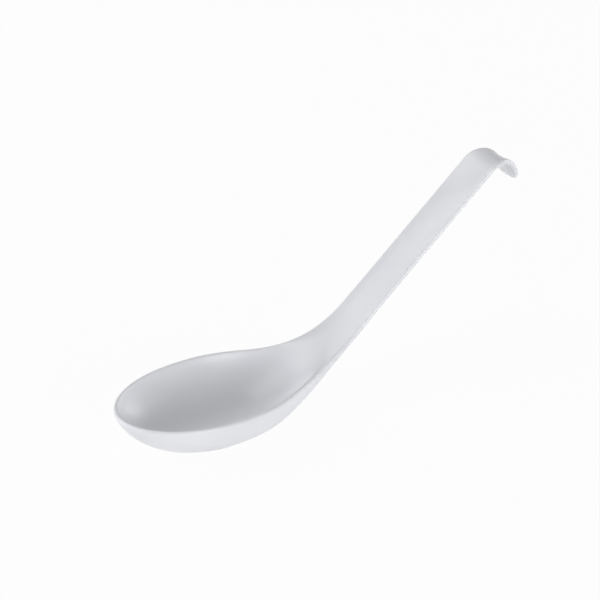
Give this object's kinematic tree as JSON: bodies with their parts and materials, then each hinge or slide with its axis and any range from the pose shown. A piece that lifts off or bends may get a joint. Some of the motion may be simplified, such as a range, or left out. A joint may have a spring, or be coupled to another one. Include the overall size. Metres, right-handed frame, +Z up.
{
  "type": "soup spoon",
  "caption": "Soup spoon with a deep oval bowl on a flat base, a crowned handle that rises at an angle, and a hooked end that hangs on the rim of a pot or bowl.",
  "frame": {"origin": "on the plane that the bowl's flat base stands on, under the middle of the spoon's length and width", "axes": "+X from the bowl towards the hook, +Y across the spoon, +Z up"},
  "size_m": [0.1804, 0.046, 0.0674],
  "materials": {
    "melamine": "glossy moulded melamine, white with a faint cool tint"
  },
  "bodies": {
    "root": {"bowl": "melamine", "neck": "melamine", "handle": "melamine", "hook": "melamine"}
  },
  "joints": []
}
